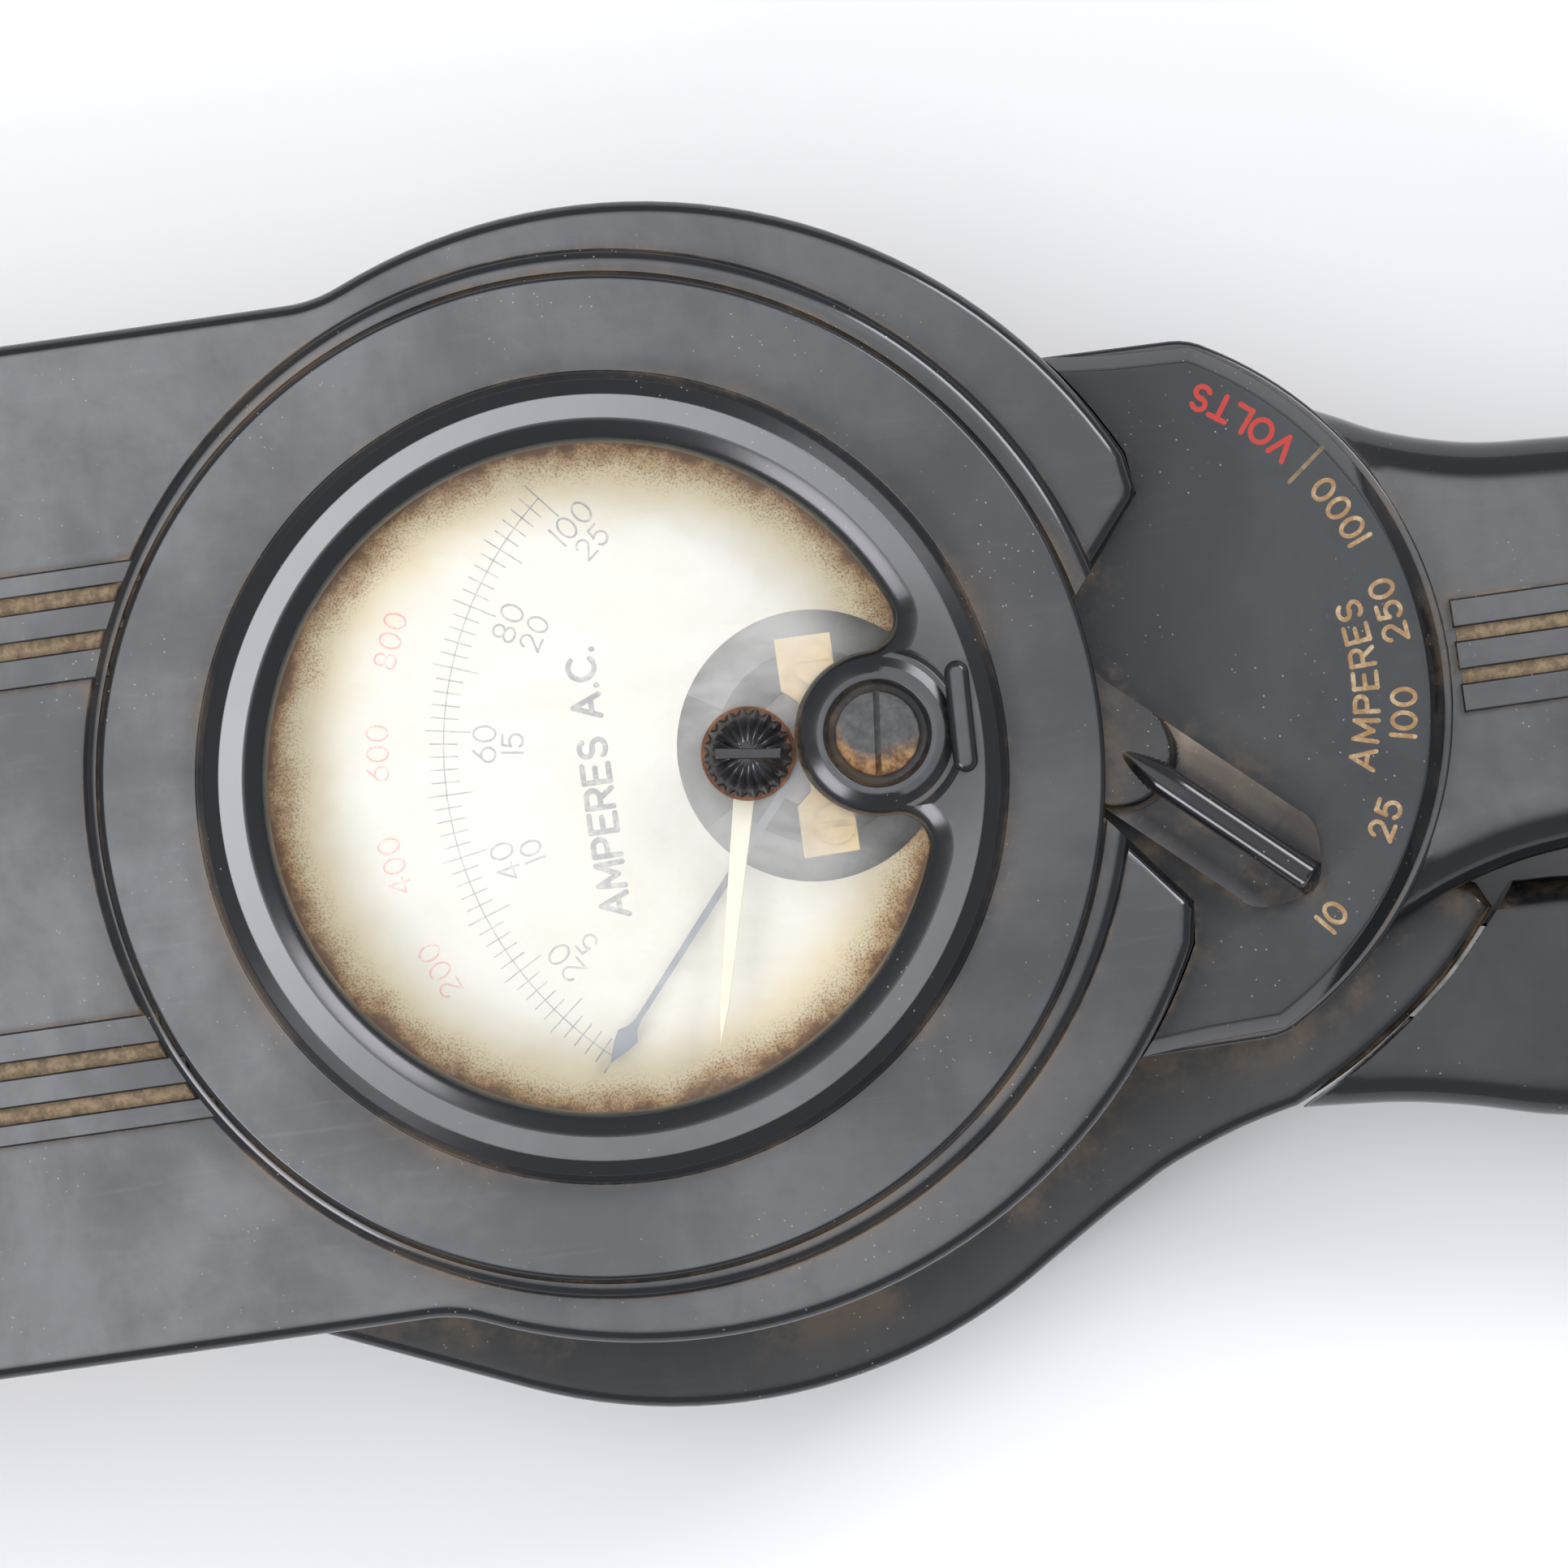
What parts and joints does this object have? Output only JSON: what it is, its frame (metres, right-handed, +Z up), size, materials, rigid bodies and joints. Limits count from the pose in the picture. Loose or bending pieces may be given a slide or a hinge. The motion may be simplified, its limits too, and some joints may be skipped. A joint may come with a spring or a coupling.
{
  "type": "clamp meter",
  "caption": "Moulded clamp volt-ammeter lying on its back: round dial, range pointer, handle with squeeze lever and two swinging jaws.",
  "frame": {"origin": "point on the flat back face under the middle of the round body", "axes": "+X along the body from the jaws to the handle, +Z up out of the dial"},
  "size_m": [0.349, 0.1251, 0.0503],
  "materials": {
    "phenolic": "satin",
    "knob_black": "glossy",
    "core_iron": "ground",
    "steel": "satin",
    "brass": "satin",
    "copper_wire": "satin",
    "fibre": "matte",
    "dial_paper": "matte",
    "cream_paint": "satin",
    "needle_blue": "satin",
    "glass": "clear",
    "gasket": "matte"
  },
  "bodies": {
    "body": {"front_shell": "phenolic", "rear_shell": "phenolic", "handle_front": "phenolic", "selector_cover": "phenolic", "meter_bezel": "phenolic", "meter_cup": "phenolic", "fixed_jaw_core": "core_iron", "iron_core": "core_iron", "pivot_pin": "steel", "pivot_nut": "steel", "chassis_plate": "steel", "return_spring": "steel", "movement_magnet": "steel", "hairspring": "steel", "rear_screw_1": "steel", "rear_screw_2": "steel", "rear_screw_3": "steel", "rear_screw_4": "steel", "rear_screw_5": "steel", "rear_screw_6": "steel", "movement_bridge": "brass", "bridge_screw_1": "brass", "bridge_screw_2": "brass", "volt_jack_1": "brass", "volt_jack_2": "brass", "contact_stud_1": "brass", "contact_stud_2": "brass", "contact_stud_3": "brass", "contact_stud_4": "brass", "contact_stud_5": "brass", "contact_stud_6": "brass", "coil_winding": "copper_wire", "rectifier": "copper_wire", "coil_bobbin": "fibre", "knob_washer": "fibre", "switch_wafer": "fibre", "resistor_spool_1": "fibre", "resistor_spool_2": "fibre", "dial_plate": "dial_paper", "dial_glass": "glass", "glass_gasket": "gasket"},
    "moving_jaw": {"moving_arm": "phenolic", "moving_jaw_cover": "phenolic", "moving_jaw_core": "core_iron", "pivot_bush": "brass", "lever_grip": "phenolic", "lever_tang": "steel", "lever_rivet_1": "brass", "lever_rivet_2": "brass", "jaw_screw_1": "steel", "jaw_screw_2": "steel"},
    "selector": {"selector_knob": "knob_black", "selector_shaft": "steel", "wiper": "brass"},
    "pointer": {"needle": "needle_blue", "needle_staff": "steel", "moving_coil": "copper_wire"},
    "hand": {"set_hand": "cream_paint", "set_knob": "knob_black"},
    "corrector": {"zero_corrector": "knob_black"}
  },
  "joints": [
    {"name": "squeeze", "type": "hinge", "parent": "body", "child": "moving_jaw", "pos_m": [0.0025, -0.00785, 0.016], "axis": [0, 0, 1], "range_deg": [0, 12], "stiffness_Nm_per_rad": 1.2, "springref_deg": -20.05},
    {"name": "range_select", "type": "hinge", "parent": "body", "child": "selector", "pos_m": [0.045, 0, 0.039], "axis": [0, 0, 1], "range_deg": [0, 91.5]},
    {"name": "needle_swing", "type": "hinge", "parent": "body", "child": "pointer", "pos_m": [0.0183, 0.0002, 0.0415], "axis": [0, 0, 1], "range_deg": [-99.5, 0], "stiffness_Nm_per_rad": 0.000002},
    {"name": "set_hand_turn", "type": "hinge", "parent": "body", "child": "hand", "pos_m": [0.0116, 0.0003, 0.0465], "axis": [0, 0, 1], "range_deg": [-153, 0]},
    {"name": "zero_adjust", "type": "hinge", "parent": "body", "child": "corrector", "pos_m": [0.025, 0.0005, 0.048], "axis": [0, 0, 1], "range_deg": [-30, 30]}
  ]
}
